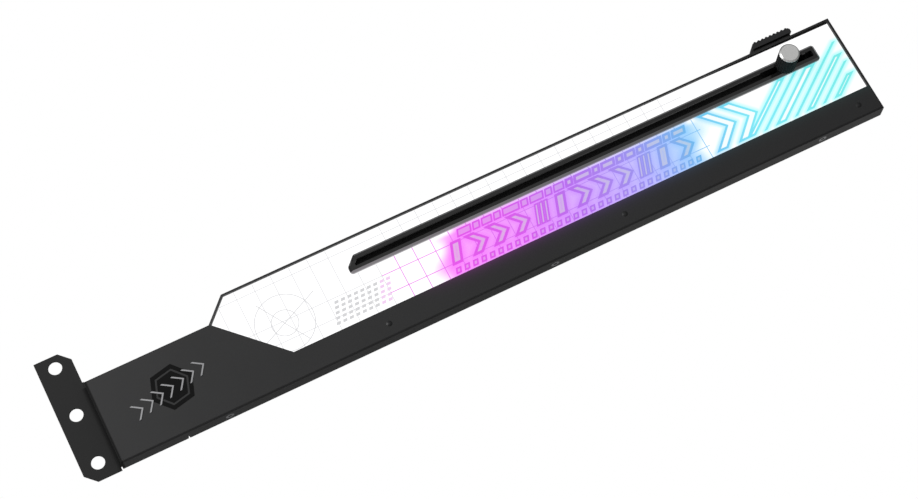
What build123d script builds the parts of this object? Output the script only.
"""Lit support bar for a long expansion card: folded steel frame, light panel and sliding arm.

Frame: +X along the bar, -Y is the lit front, +Z up in use. The origin is the centre hole of
the mounting flange, on the flange's seat (rear) face. Millimetres.
"""
from build123d import *
import os

os.makedirs("parts", exist_ok=True)

# mounting flange: three screw holes on the expansion-slot pitch of a computer case
slot_pitch = 20.32
hole_r = 2.65
flange_x0, flange_x1 = -6.8, 6.9
flange_z0, flange_z1 = -26.9, 25.05
flange_chamfer = 4.1

# folded frame
sheet = 1.0
bend_r = 0.8
body_x0, body_x1 = 7.4, 332.4
body_z0, body_z1 = -26.45, 17.4
shoulder_x, shoulder_z = 57.9, 8.3
relief_h = 0.95
relief_x, relief_w, relief_l = 34.0, 0.8, 3.0

# window in the front face
window_z0, window_x1 = -15.6, 331.2
window_sill_x = 82.0
window_corner_r = 1.2
panel_lap = 2.0

# layers of the light panel, front to back
film_t = 0.2
diffuser_t = 2.0
guide_t = 3.0
reflector_t = 0.2
cover_t = 1.2
ink_t = 0.05

# slot, its raised bezel and its rear channel
slot_z = 6.25
slot_x0, slot_x1 = 117.5, 318.6
slot_h = 2.6
bezel_x0, bezel_x1 = 114.6, 320.6
bezel_h = 6.9
bezel_rise = 1.8
bezel_bevel = 0.8
channel_x0, channel_x1 = 118.3, 319.3
channel_h = 3.4
channel_wall = 0.7

# thumb screw, at the place along the slot that the photograph shows
screw_x = 306.05
stud_r = 1.25
knob_r = 4.05
knob_top = 19.6
cap_t = 0.7
cap_bevel = 0.6
washer_t = 0.5
washer_r = 3.6
flute_count = 24

# support arm and its pad
arm_t = 1.6
arm_gap = 0.1
arm_x0 = 299.2
pad_x0, pad_x1 = 300.7, 318.9
pad_lean = 0.7
pad_z0, pad_z1 = 20.8, 23.4
pad_front = 0.9
pad_back = 15.0
pad_lap = 0.8
pad_round = 0.7
rib_count, rib_h = 9, 0.4
arm_up = 12.0
pad_stop = 0.4
arm_down = pad_z0 - body_z1 - pad_stop

# small hardware
screw_xs = (50.7, 186.7, 305.1)
screw_y = -3.6
screw_r = 1.0
screw_l = 4.4
screw_head_r = 1.7
pilot_gap = 0.2
rivet_xs = (118.8, 219.3, 323.7)
rivet_z = -21.3
rivet_r, rivet_head_r = 0.8, 1.15

# clearances
slip = 0.1
running = 0.05
tight = 0.02

# planes and levels that follow from the values above
depth = sheet + film_t + diffuser_t + guide_t + reflector_t + cover_t
front_y = -depth
film_y = front_y + sheet
diffuser_y = film_y + film_t
guide_y = diffuser_y + diffuser_t
reflector_y = guide_y + guide_t
cover_y = reflector_y + reflector_t
bezel_y = film_y - bezel_rise
knob_y = bezel_y - washer_t
step_x = shoulder_x + (body_z1 - shoulder_z)
sill_sum = window_sill_x + window_z0
inner_z0 = body_z0 + sheet
inner_z1 = body_z1 - sheet
root2 = 2 ** 0.5


def at(y):
    """Sketch plane facing the front at depth y: local x is X, local y is Z."""
    return Plane.XZ.offset(-y)


def step_line(inset):
    """X minus Z on the slanted step wall, moved in by inset."""
    return shoulder_x - shoulder_z + inset * root2


def panel_points(inset, lap):
    """Corners of the window's shape: inset from the walls, lapped under the front band."""
    top, low = inner_z1 - inset, window_z0 - lap
    right = window_x1 - inset
    left = step_line(sheet + inset)
    sill = sill_sum - lap * root2
    tip_z = (sill - left) / 2
    return [
        (tip_z + left, tip_z),
        (sill - low, low),
        (right, low),
        (right, top),
        (top + left, top),
    ]


body_points = [
    (body_x0, body_z0),
    (body_x1, body_z0),
    (body_x1, body_z1),
    (step_x, body_z1),
    (shoulder_x, shoulder_z),
    (body_x0, shoulder_z),
]

# folded steel frame: tray, front band, window and mounting flange in one sheet
with BuildPart() as frame:
    with BuildSketch(at(0)):
        with BuildLine():
            Polyline(*body_points, close=True)
        make_face()
    extrude(amount=depth)
    fillet(frame.faces().sort_by(Axis.Y)[0].edges(), radius=bend_r)
    with BuildSketch(at(0)):
        with BuildLine():
            Polyline(*body_points, close=True)
        make_face()
        offset(amount=-sheet, kind=Kind.INTERSECTION, mode=Mode.REPLACE)
    extrude(amount=depth - sheet, mode=Mode.SUBTRACT)
    with BuildSketch(at(film_y)) as window:
        with BuildLine():
            Polyline(*panel_points(0, 0), close=True)
        make_face()
        fillet(window.vertices().sort_by(Axis.X)[-2:].sort_by(Axis.Y)[-1], radius=window_corner_r)
    extrude(amount=sheet, mode=Mode.SUBTRACT)
    with BuildSketch(at(0)):
        with BuildLine():
            Polyline(
                (flange_x0, flange_z1),
                (flange_x1 - flange_chamfer, flange_z1),
                (flange_x1, flange_z1 - flange_chamfer),
                (flange_x1, flange_z0),
                (flange_x0 + flange_chamfer, flange_z0),
                (flange_x0, flange_z0 + flange_chamfer),
                close=True,
            )
        make_face()
        with BuildLine():
            Polyline(
                (flange_x1 - sheet, shoulder_z),
                (body_x0 + sheet, shoulder_z),
                (body_x0 + sheet, body_z0 + relief_h),
                (flange_x1 - sheet, body_z0 + relief_h),
                close=True,
            )
        make_face()
        with Locations((0, slot_pitch), (0, 0), (0, -slot_pitch)):
            Circle(hole_r, mode=Mode.SUBTRACT)
    extrude(amount=sheet)
    with BuildSketch(Plane.XY.offset(body_z0 - sheet)):
        with BuildLine():
            Polyline(
                (relief_x - relief_w / 2, sheet / 2),
                (relief_x + relief_w / 2, sheet / 2),
                (relief_x, -relief_l),
                close=True,
            )
        make_face()
    extrude(amount=2 * sheet + slip, mode=Mode.SUBTRACT)
    with Locations(*[(x, screw_y, body_z0) for x in screw_xs]):
        Cylinder(screw_r + slip, sheet, align=(Align.CENTER, Align.CENTER, Align.MIN), mode=Mode.SUBTRACT)
        Cone(
            screw_head_r + tight,
            screw_r + tight,
            screw_head_r - screw_r,
            align=(Align.CENTER, Align.CENTER, Align.MIN),
            mode=Mode.SUBTRACT,
        )
    with BuildSketch(at(film_y)):
        with Locations(*[(x, rivet_z) for x in rivet_xs]):
            Circle(rivet_r + tight)
    extrude(amount=sheet, mode=Mode.SUBTRACT)
frame.part.label = "frame"
export_step(frame.part, "parts/frame.step")


def tube_points(grow):
    """Outline of the bezel's rear tube, grown by a clearance."""
    half = channel_h / 2 + channel_wall + grow
    x0 = channel_x0 - channel_wall - grow
    x1 = channel_x1 + channel_wall + grow
    return [(x0, slot_z - half), (x1, slot_z - half), (x1, slot_z + half), (x0, slot_z + half)]


# raised bezel around the slot, with the channel that guides the arm's block
bezel_low, bezel_high = slot_z - bezel_h / 2, slot_z + bezel_h / 2
slot_low, slot_high = slot_z - slot_h / 2, slot_z + slot_h / 2
bezel_slant = bezel_h * 0.56
slot_slant = slot_h * 0.62
with BuildPart() as slot_bezel:
    with BuildSketch(at(film_y)) as lip:
        with BuildLine():
            Polyline(
                (bezel_x0, bezel_low),
                (bezel_x1, bezel_low),
                (bezel_x1, bezel_high),
                (bezel_x0 + bezel_slant, bezel_high),
                (bezel_x0, bezel_high - bezel_slant),
                close=True,
            )
        make_face()
        fillet(lip.vertices(), radius=1.2)
    extrude(amount=bezel_rise)
    chamfer(slot_bezel.faces().sort_by(Axis.Y)[0].edges(), length=bezel_bevel)
    with BuildSketch(at(0)):
        with BuildLine():
            Polyline(*tube_points(0), close=True)
        make_face()
    extrude(amount=depth - sheet)
    with BuildSketch(at(film_y)) as slot:
        with BuildLine():
            Polyline(
                (slot_x0, slot_low),
                (slot_x1, slot_low),
                (slot_x1, slot_high),
                (slot_x0 + slot_slant, slot_high),
                (slot_x0, slot_high - slot_slant),
                close=True,
            )
        make_face()
        fillet(slot.vertices().sort_by(Axis.X)[-2:], radius=0.5)
    extrude(amount=bezel_rise, mode=Mode.SUBTRACT)
    with BuildSketch(at(0)):
        with Locations(((channel_x0 + channel_x1) / 2, slot_z)):
            Rectangle(channel_x1 - channel_x0, channel_h)
    extrude(amount=depth - sheet, mode=Mode.SUBTRACT)
slot_bezel.part.label = "slot_bezel"
export_step(slot_bezel.part, "parts/slot_bezel.step")

# printed film in the window
with BuildPart() as film:
    with BuildSketch(at(diffuser_y)):
        with BuildLine():
            Polyline(*panel_points(slip, panel_lap), close=True)
        make_face()
        with BuildLine():
            Polyline(*tube_points(slip), close=True)
        make_face(mode=Mode.SUBTRACT)
    extrude(amount=film_t)
film.part.label = "film"
export_step(film.part, "parts/film.step")

# white diffuser behind the film
with BuildPart() as diffuser:
    with BuildSketch(at(guide_y)):
        with BuildLine():
            Polyline(*panel_points(slip, panel_lap), close=True)
        make_face()
        with BuildLine():
            Polyline(*tube_points(slip), close=True)
        make_face(mode=Mode.SUBTRACT)
    extrude(amount=diffuser_t)
diffuser.part.label = "diffuser"
export_step(diffuser.part, "parts/diffuser.step")

# clear light guide, lit through its lower edge
with BuildPart() as light_guide:
    with BuildSketch(at(reflector_y)):
        with BuildLine():
            Polyline(*panel_points(slip, panel_lap), close=True)
        make_face()
        with BuildLine():
            Polyline(*tube_points(slip), close=True)
        make_face(mode=Mode.SUBTRACT)
    extrude(amount=guide_t)
light_guide.part.label = "light_guide"
export_step(light_guide.part, "parts/light_guide.step")

# white reflector sheet behind the guide
with BuildPart() as reflector:
    with BuildSketch(at(cover_y)):
        with BuildLine():
            Polyline(*panel_points(slip, panel_lap), close=True)
        make_face()
        with BuildLine():
            Polyline(*tube_points(slip), close=True)
        make_face(mode=Mode.SUBTRACT)
    extrude(amount=reflector_t)
reflector.part.label = "reflector"
export_step(reflector.part, "parts/reflector.step")

# lamp board below the guide, on an aluminium rail that the front rivets hold
lamp_w, lamp_d, lamp_h = 3.5, 2.8, 1.4
lamp_count = 15
lamp_gap = 0.1
board_t, rail_t = 1.0, 1.0
guide_low = window_z0 - panel_lap
lamp_z = guide_low - lamp_gap - lamp_h
board_z = lamp_z - board_t
rail_z = board_z - rail_t
rail_leg = 4.2
rail_x0, rail_x1 = 84.0, 329.0
lamp_end = 6.3
lamp_pitch = (rail_x1 - rail_x0 - 2 * lamp_end) / (lamp_count - 1)
lamp_mid_x = (window_sill_x + window_x1) / 2
guide_mid_y = guide_y + guide_t / 2
with BuildPart() as led_rail:
    with BuildSketch(Plane.YZ.offset(rail_x0)):
        with BuildLine():
            Polyline(
                (film_y, rail_z + rail_t),
                (cover_y - slip, rail_z + rail_t),
                (cover_y - slip, rail_z),
                (film_y + rail_t, rail_z),
                (film_y + rail_t, rail_z + rail_t - rail_leg),
                (film_y, rail_z + rail_t - rail_leg),
                close=True,
            )
        make_face()
    extrude(amount=rail_x1 - rail_x0)
    with BuildSketch(at(film_y + rail_t)):
        with Locations(*[(x, rivet_z) for x in rivet_xs]):
            Circle(rivet_r + tight)
    extrude(amount=rail_t, mode=Mode.SUBTRACT)
led_rail.part.label = "led_rail"
export_step(led_rail.part, "parts/led_rail.step")

with BuildPart() as led_board:
    with Locations(((rail_x0 + rail_x1) / 2, guide_mid_y, board_z)):
        Box(rail_x1 - rail_x0, guide_t, board_t, align=(Align.CENTER, Align.CENTER, Align.MIN))
led_board.part.label = "led_board"
export_step(led_board.part, "parts/led_board.step")

with BuildPart() as leds:
    with Locations((lamp_mid_x, guide_mid_y, lamp_z)):
        with GridLocations(lamp_pitch, 0, lamp_count, 1):
            Box(lamp_w, lamp_d, lamp_h, align=(Align.CENTER, Align.CENTER, Align.MIN))
leds.part.label = "leds"
export_step(leds.part, "parts/leds.step")

# three domed rivets through the front band and the lamp rail
rivet_dome = 0.3
dome_r = (rivet_head_r ** 2 + rivet_dome ** 2) / (2 * rivet_dome)
with BuildPart() as rivets:
    with BuildSketch(at(film_y + rail_t)):
        with Locations(*[(x, rivet_z) for x in rivet_xs]):
            Circle(rivet_r)
    extrude(amount=sheet + rail_t)
    for x in rivet_xs:
        with BuildSketch(Plane((x, front_y, rivet_z), x_dir=(1, 0, 0), z_dir=(0, 0, 1))) as dome:
            with BuildLine():
                Line((0, 0), (rivet_head_r, 0))
                ThreePointArc(
                    (rivet_head_r, 0),
                    (rivet_head_r * 0.6, dome_r - rivet_dome - (dome_r ** 2 - (rivet_head_r * 0.6) ** 2) ** 0.5),
                    (0, -rivet_dome),
                )
                Line((0, -rivet_dome), (0, 0))
            make_face()
        revolve(axis=Axis((x, front_y, rivet_z), (0, 1, 0)))
rivets.part.label = "rivets"
export_step(rivets.part, "parts/rivets.step")

# rear cover, with a boss for each screw and a slot for the bezel's tube
boss_w = 8.0
boss_top = rail_z - slip
grommet_x, grommet_z, grommet_r = 24.0, -17.0, 2.5
with BuildPart() as back_cover:
    with BuildSketch(at(0)):
        with BuildLine():
            Polyline(*body_points, close=True)
        make_face()
        offset(amount=-sheet - slip, kind=Kind.INTERSECTION, mode=Mode.REPLACE)
        with BuildLine():
            Polyline(*tube_points(slip), close=True)
        make_face(mode=Mode.SUBTRACT)
        with Locations((grommet_x, grommet_z)):
            Circle(grommet_r, mode=Mode.SUBTRACT)
    extrude(amount=cover_t)
    with BuildSketch(at(cover_y)):
        for x in screw_xs:
            with Locations((x, (inner_z0 + slip + boss_top) / 2)):
                Rectangle(boss_w, boss_top - inner_z0 - slip)
    extrude(amount=cover_y - film_y - rail_t - slip)
    with Locations(*[(x, screw_y, body_z0) for x in screw_xs]):
        Cylinder(screw_r + tight, screw_l + pilot_gap, align=(Align.CENTER, Align.CENTER, Align.MIN), mode=Mode.SUBTRACT)
back_cover.part.label = "back_cover"
export_step(back_cover.part, "parts/back_cover.step")

# countersunk screws that hold the cover, driven up through the bottom wall
hex_r = 0.8
with BuildPart() as cover_screws:
    with Locations(*[(x, screw_y, body_z0) for x in screw_xs]):
        Cylinder(screw_r, screw_l, align=(Align.CENTER, Align.CENTER, Align.MIN))
        Cone(
            screw_head_r,
            screw_r,
            screw_head_r - screw_r,
            align=(Align.CENTER, Align.CENTER, Align.MIN),
        )
    for x in screw_xs:
        with BuildSketch(Plane((x, screw_y, body_z0), x_dir=(1, 0, 0), z_dir=(0, 0, 1))):
            RegularPolygon(hex_r, 6)
        extrude(amount=0.6, mode=Mode.SUBTRACT)
cover_screws.part.label = "cover_screws"
export_step(cover_screws.part, "parts/cover_screws.step")

# rubber grommet where the lead leaves the cover
grommet_bore, grommet_lip = 1.6, 3.3
with BuildPart() as lead_grommet:
    with BuildSketch(Plane((grommet_x, 0, grommet_z), x_dir=(1, 0, 0), z_dir=(0, 0, 1))):
        with BuildLine():
            Polyline(
                (grommet_bore, -cover_t - 0.8),
                (grommet_lip, -cover_t - 0.8),
                (grommet_lip, -cover_t),
                (grommet_r, -cover_t),
                (grommet_r, 0),
                (grommet_lip, 0),
                (grommet_lip - 0.4, 0.8),
                (grommet_bore, 0.8),
                close=True,
            )
        make_face()
    revolve(axis=Axis((grommet_x, 0, grommet_z), (0, 1, 0)))
lead_grommet.part.label = "lead_grommet"
export_step(lead_grommet.part, "parts/lead_grommet.step")

# square guide block that rides in the bezel's channel and through the arm's slot
block_w = 4.8
block_h = channel_h - 2 * running
block_y0 = film_y + slip
arm_y0 = arm_gap
arm_y1 = arm_y0 + arm_t
nut_y0 = arm_y1 + arm_gap
nut_t, nut_w = 3.0, 9.0
nut_recess = 0.8
block_y1 = nut_y0 + nut_recess - slip
with BuildPart() as guide_block:
    with BuildSketch(at(block_y1)) as block:
        with Locations((screw_x, slot_z)):
            Rectangle(block_w, block_h)
            Circle(stud_r + running, mode=Mode.SUBTRACT)
    extrude(amount=block_y1 - block_y0)
    chamfer(guide_block.edges().filter_by(Axis.Y).filter_by(GeomType.LINE), length=0.4)
guide_block.part.label = "guide_block"
export_step(guide_block.part, "parts/guide_block.step")

# clamp nut behind the arm; its recess keeps it square on the guide block
with BuildPart() as clamp_nut:
    with BuildSketch(at(nut_y0 + nut_t)):
        with Locations((screw_x, slot_z)):
            RectangleRounded(nut_w, nut_w, 1.0)
            Circle(stud_r + tight, mode=Mode.SUBTRACT)
    extrude(amount=nut_t)
    with BuildSketch(at(nut_y0 + nut_recess)):
        with Locations((screw_x, slot_z)):
            Rectangle(block_w + running, block_h + running)
    extrude(amount=nut_recess, mode=Mode.SUBTRACT)
    chamfer(clamp_nut.faces().sort_by(Axis.Y)[-1].edges().filter_by(GeomType.LINE), length=0.4)
clamp_nut.part.label = "clamp_nut"
export_step(clamp_nut.part, "parts/clamp_nut.step")

# support arm: plate behind the bar, bent back into a leg under the pad
leg_z1 = pad_z1 - rib_h - pad_lap
leg_z0 = leg_z1 - arm_t
neck_x0, neck_x1 = pad_x0 + pad_lean + pad_lap, pad_x1 - pad_lap
leg_back = pad_back - pad_lap
neck_z = body_z1
arm_slot_low = slot_z - block_h / 2 - arm_up - slip
arm_slot_high = slot_z + block_h / 2 + arm_down + slip
arm_low = arm_slot_low - 4.0
with BuildPart() as support_arm:
    with BuildSketch(Plane.YZ.offset(arm_x0)):
        with BuildLine():
            Polyline(
                (arm_y0, arm_low),
                (arm_y1, arm_low),
                (arm_y1, leg_z0),
                (leg_back, leg_z0),
                (leg_back, leg_z1),
                (arm_y0, leg_z1),
                close=True,
            )
        make_face()
    extrude(amount=neck_x1 - arm_x0)
    inner_bend = support_arm.edges().filter_by(Axis.X).filter_by_position(Axis.Y, arm_y1 - slip, arm_y1 + slip)
    fillet(inner_bend.sort_by(Axis.Z)[-1], radius=0.8)
    outer_bend = support_arm.edges().filter_by(Axis.X).filter_by_position(Axis.Y, arm_y0 - slip, arm_y0 + slip)
    fillet(outer_bend.sort_by(Axis.Z)[-1], radius=0.8 + arm_t)
    with BuildSketch(at(leg_back + slip)):
        with Locations(((arm_x0 + neck_x0) / 2 - slip, (neck_z + leg_z1) / 2 + slip)):
            Rectangle(neck_x0 - arm_x0 + 2 * slip, leg_z1 - neck_z + 2 * slip)
    extrude(amount=leg_back + 2 * slip, mode=Mode.SUBTRACT)
    with BuildSketch(at(arm_y1)) as arm_slot:
        with Locations((screw_x, (arm_slot_low + arm_slot_high) / 2)):
            RectangleRounded(block_w + 2 * running, arm_slot_high - arm_slot_low, 0.3)
    extrude(amount=arm_t, mode=Mode.SUBTRACT)
    corners = support_arm.edges().filter_by(Axis.Y)
    fillet(corners.sort_by(Axis.Z)[:2], radius=2.0)
support_arm.part.label = "support_arm"
export_step(support_arm.part, "parts/support_arm.step")

# ribbed rubber pad that caps the leg
rib_pitch = (neck_x1 - neck_x0) / rib_count
pad_top = pad_z1 - rib_h
with BuildPart() as arm_pad:
    with BuildSketch(at(pad_back)) as pad:
        with BuildLine():
            Polyline(
                (pad_x0, pad_z0),
                (pad_x1 - pad_round / 3, pad_z0),
                (pad_x1, pad_z0 + pad_round / 3),
                (pad_x1, pad_top - pad_round),
                (pad_x1 - pad_round, pad_top),
                (pad_x0 + pad_lean + pad_round, pad_top),
                (pad_x0 + pad_lean, pad_top - pad_round),
                close=True,
            )
        make_face()
        for i in range(rib_count):
            rib_x = neck_x0 + (i + 0.5) * rib_pitch
            with BuildLine():
                Polyline(
                    (rib_x - rib_pitch * 0.4, pad_top - 0.1),
                    (rib_x + rib_pitch * 0.4, pad_top - 0.1),
                    (rib_x + rib_pitch * 0.16, pad_z1),
                    (rib_x - rib_pitch * 0.16, pad_z1),
                    close=True,
                )
            make_face()
    extrude(amount=pad_back + pad_front)
    with BuildSketch(Plane.YZ.offset(neck_x0 - tight)):
        with BuildLine():
            Polyline(
                (arm_y0 - slip, pad_z0 - slip),
                (leg_back + tight, pad_z0 - slip),
                (leg_back + tight, leg_z1 + tight),
                (arm_y0 - slip, leg_z1 + tight),
                close=True,
            )
        make_face()
    extrude(amount=neck_x1 - neck_x0 + 2 * tight, mode=Mode.SUBTRACT)
arm_pad.part.label = "arm_pad"
export_step(arm_pad.part, "parts/arm_pad.step")

# captive washer under the knob
with BuildPart() as washer:
    with BuildSketch(at(bezel_y)):
        with Locations((screw_x, slot_z)):
            Circle(washer_r)
            Circle(stud_r + running, mode=Mode.SUBTRACT)
    extrude(amount=washer_t)
washer.part.label = "washer"
export_step(washer.part, "parts/washer.step")

# fluted knob
knob_end = -knob_top + cap_t
stud_seat = 5.0
spigot_r, spigot_l = 2.0, 1.6
with BuildPart() as knob:
    with BuildSketch(at(knob_y)):
        with Locations((screw_x, slot_z)):
            Circle(knob_r)
            with PolarLocations(knob_r + 0.12, flute_count):
                Circle(0.34, mode=Mode.SUBTRACT)
    extrude(amount=knob_y - knob_end)
    with BuildSketch(at(knob_y)):
        with Locations((screw_x, slot_z)):
            Circle(stud_r + tight)
    extrude(amount=stud_seat, mode=Mode.SUBTRACT)
    with BuildSketch(at(knob_end + spigot_l)):
        with Locations((screw_x, slot_z)):
            Circle(spigot_r + tight)
    extrude(amount=spigot_l, mode=Mode.SUBTRACT)
knob.part.label = "knob"
export_step(knob.part, "parts/knob.step")

# bright bevelled cap on the knob
with BuildPart() as knob_cap:
    with BuildSketch(at(knob_end)):
        with Locations((screw_x, slot_z)):
            Circle(knob_r - running)
    extrude(amount=cap_t)
    chamfer(knob_cap.faces().sort_by(Axis.Y)[0].edges(), length=cap_bevel)
    with BuildSketch(at(knob_end + spigot_l - slip)):
        with Locations((screw_x, slot_z)):
            Circle(spigot_r)
    extrude(amount=spigot_l - slip)
knob_cap.part.label = "knob_cap"
export_step(knob_cap.part, "parts/knob_cap.step")

# threaded stud of the thumb screw
stud_end = nut_y0 + nut_t + 1.6
with BuildPart() as stud:
    with BuildSketch(at(stud_end)):
        with Locations((screw_x, slot_z)):
            Circle(stud_r)
    extrude(amount=stud_end - knob_y + stud_seat - slip)
    chamfer(stud.faces().sort_by(Axis.Y)[-1].edges(), length=0.3)
stud.part.label = "stud"
export_step(stud.part, "parts/stud.step")

# emblem on the closed end: gloss hexagon ring with silver chevrons across it
badge_x, badge_z, badge_tilt = 36.0, -8.0, 12.0
badge_r, badge_t = 9.0, 0.12
with BuildPart() as badge:
    with BuildSketch(at(front_y)):
        with Locations((badge_x, badge_z)):
            RegularPolygon(badge_r, 6, rotation=badge_tilt)
            RegularPolygon(badge_r * 0.8, 6, rotation=badge_tilt, mode=Mode.SUBTRACT)
            RegularPolygon(badge_r * 0.7, 6, rotation=badge_tilt)
    extrude(amount=badge_t)
badge.part.label = "badge"
export_step(badge.part, "parts/badge.step")

chevron_w, chevron_h, chevron_pitch, chevron_count = 0.8, 3.2, 4.6, 7
with BuildPart() as badge_strokes:
    with BuildSketch(at(front_y - badge_t)):
        with Locations(Location((badge_x, badge_z), badge_tilt)):
            with GridLocations(chevron_pitch, 0, chevron_count, 1):
                Polygon(
                    (0, 0),
                    (-chevron_h, chevron_h),
                    (chevron_w - chevron_h, chevron_h),
                    (chevron_w, 0),
                    (chevron_w - chevron_h, -chevron_h),
                    (-chevron_h, -chevron_h),
                    align=None,
                )
    extrude(amount=badge_t)
badge_strokes.part.label = "badge_strokes"
export_step(badge_strokes.part, "parts/badge_strokes.step")

# printed design on the film: pale grid, three glowing fields with light arrows, cyan slabs
grid_pitch, grid_w = 7.6, 0.25
grid_x0, grid_count = 64.0, 9
field_x0, violet_x0, blue_x0, field_x1 = 149.0, 203.5, 239.5, 263.0
field_gap = 1.0
band_h = bezel_low - window_z0
band_mid = (bezel_low + window_z0) / 2
field_h = band_h - 2.0
field_lean = 0.35
upper_mid = (bezel_high + inner_z1) / 2
upper_h = inner_z1 - bezel_high - 2 * slip
with BuildPart() as print_grid:
    with BuildSketch(at(film_y)):
        with Locations((grid_x0 + (grid_count - 1) * grid_pitch / 2, band_mid)):
            with GridLocations(grid_pitch, 0, grid_count, 1):
                Rectangle(grid_w, field_h)
            with GridLocations(0, grid_pitch, 1, 2):
                Rectangle((grid_count - 1) * grid_pitch + grid_w, grid_w)
        with Locations(((grid_x0 + field_x1) / 2, upper_mid)):
            with GridLocations(grid_pitch, 0, 2 * grid_count, 1):
                Rectangle(grid_w, upper_h)
            Rectangle(field_x1 - grid_x0, grid_w)
        with BuildLine():
            Polyline(*panel_points(slip, 0), close=True)
        make_face(mode=Mode.INTERSECT)
    extrude(amount=ink_t)
print_grid.part.label = "print_grid"
export_step(print_grid.part, "parts/print_grid.step")


def slab(x, width, z0, z1, lean, mode=Mode.ADD):
    """Slab that leans to the right from its foot at x and z0 up to z1."""
    shift = lean * (z1 - z0)
    Polygon((x, z0), (x + width, z0), (x + width + shift, z1), (x + shift, z1), align=None, mode=mode)


def arrow(x, width, mid, half, mode=Mode.ADD):
    """Arrow head that points right; its two arms rise at 45 degrees from x."""
    Polygon(
        (x, mid - half),
        (x + width, mid - half),
        (x + width + half, mid),
        (x + width, mid + half),
        (x, mid + half),
        (x + half, mid),
        align=None,
        mode=mode,
    )


field_z0, field_z1 = band_mid - field_h / 2, band_mid + field_h / 2
field_shift = field_lean * field_h / 2
with BuildPart() as print_magenta:
    with BuildSketch(at(film_y)):
        slab(field_x0 - field_shift, violet_x0 - field_x0 - field_gap, field_z0, field_z1, field_lean)
    extrude(amount=ink_t)
print_magenta.part.label = "print_magenta"
export_step(print_magenta.part, "parts/print_magenta.step")

with BuildPart() as print_violet:
    with BuildSketch(at(film_y)):
        slab(violet_x0 - field_shift, blue_x0 - violet_x0 - field_gap, field_z0, field_z1, field_lean)
    extrude(amount=ink_t)
print_violet.part.label = "print_violet"
export_step(print_violet.part, "parts/print_violet.step")

with BuildPart() as print_blue:
    with BuildSketch(at(film_y)):
        slab(blue_x0 - field_shift, field_x1 - blue_x0 - field_gap, field_z0, field_z1, field_lean)
    extrude(amount=ink_t)
print_blue.part.label = "print_blue"
export_step(print_blue.part, "parts/print_blue.step")

# cyan outlines: two large arrows, a row of slabs, and two at the window's right end
line_w = 0.9
cyan_lean = 0.5
cyan_z0 = window_z0 + 1.2
cyan_z1 = bezel_low - slip
big_arrow_w, big_arrow_x, big_arrow_pitch = 5.0, 264.0, 9.6
slab_x, slab_gap = 285.2, 3.0
slab_ws = (4.6, 2.4, 6.2, 2.4, 4.6, 4.4)
slab_rise, slab_drop = 8.0, 7.4
slab_z1s = (cyan_z1, cyan_z1, cyan_z1, cyan_z1, cyan_z1 + slab_rise, cyan_z1 - slab_drop)
with BuildPart() as print_cyan:
    with BuildSketch(at(film_y)):
        big_half = (cyan_z1 - cyan_z0) / 2
        for i in range(2):
            x = big_arrow_x + i * big_arrow_pitch
            arrow(x, big_arrow_w, cyan_z0 + big_half, big_half)
            arrow(
                x + line_w * (1 + root2),
                big_arrow_w - 2 * line_w * root2,
                cyan_z0 + big_half,
                big_half - line_w,
                mode=Mode.SUBTRACT,
            )
        side = line_w * (1 + cyan_lean ** 2) ** 0.5
        x = slab_x
        for width, top in zip(slab_ws, slab_z1s):
            slab(x, width, cyan_z0, top, cyan_lean)
            if width > 4 * line_w:
                slab(
                    x + side + cyan_lean * line_w,
                    width - 2 * side,
                    cyan_z0 + line_w,
                    top - line_w,
                    cyan_lean,
                    mode=Mode.SUBTRACT,
                )
            x += width + slab_gap
    extrude(amount=ink_t)
print_cyan.part.label = "print_cyan"
export_step(print_cyan.part, "parts/print_cyan.step")

# light shapes over the fields: dashes above, arrows and slabs in the middle, ticks below
row_x, row_pitch, row_count = 151.4, 9.0, 12
row_half, arrow_w, slab_w, bar_w = 4.0, 3.2, 3.4, 1.0
dash_x, dash_gap, dash_count = 158.0, 1.4, 19
dash_ws = (5.2, 2.4, 3.8, 2.4, 6.6, 2.4)
dash_h, dash_rise = 2.4, 6.7
dash_z = band_mid + dash_rise
tick_x, tick_pitch, tick_count = 151.0, 3.6, 30
tick_w, tick_h, tick_drop = 1.4, 1.6, 7.0
tick_z = band_mid - tick_drop
with BuildPart() as print_light:
    with BuildSketch(at(film_y - ink_t)):
        for i in range(row_count):
            x = row_x + i * row_pitch
            if i % 5 == 0:
                slab(x, slab_w, band_mid - row_half, band_mid + row_half, field_lean)
            elif i % 5 == 4:
                for k in range(3):
                    slab(x + 2 * k * bar_w, bar_w, band_mid - row_half, band_mid + row_half, field_lean)
            else:
                arrow(x, arrow_w, band_mid, row_half)
        x = dash_x
        for i in range(dash_count):
            width = dash_ws[i % len(dash_ws)]
            slab(x, width, dash_z - dash_h / 2, dash_z + dash_h / 2, field_lean)
            x += width + dash_gap
        for i in range(tick_count):
            slab(tick_x + i * tick_pitch, tick_w, tick_z - tick_h / 2, tick_z + tick_h / 2, field_lean)
    extrude(amount=ink_t)
print_light.part.label = "print_light"
export_step(print_light.part, "parts/print_light.step")
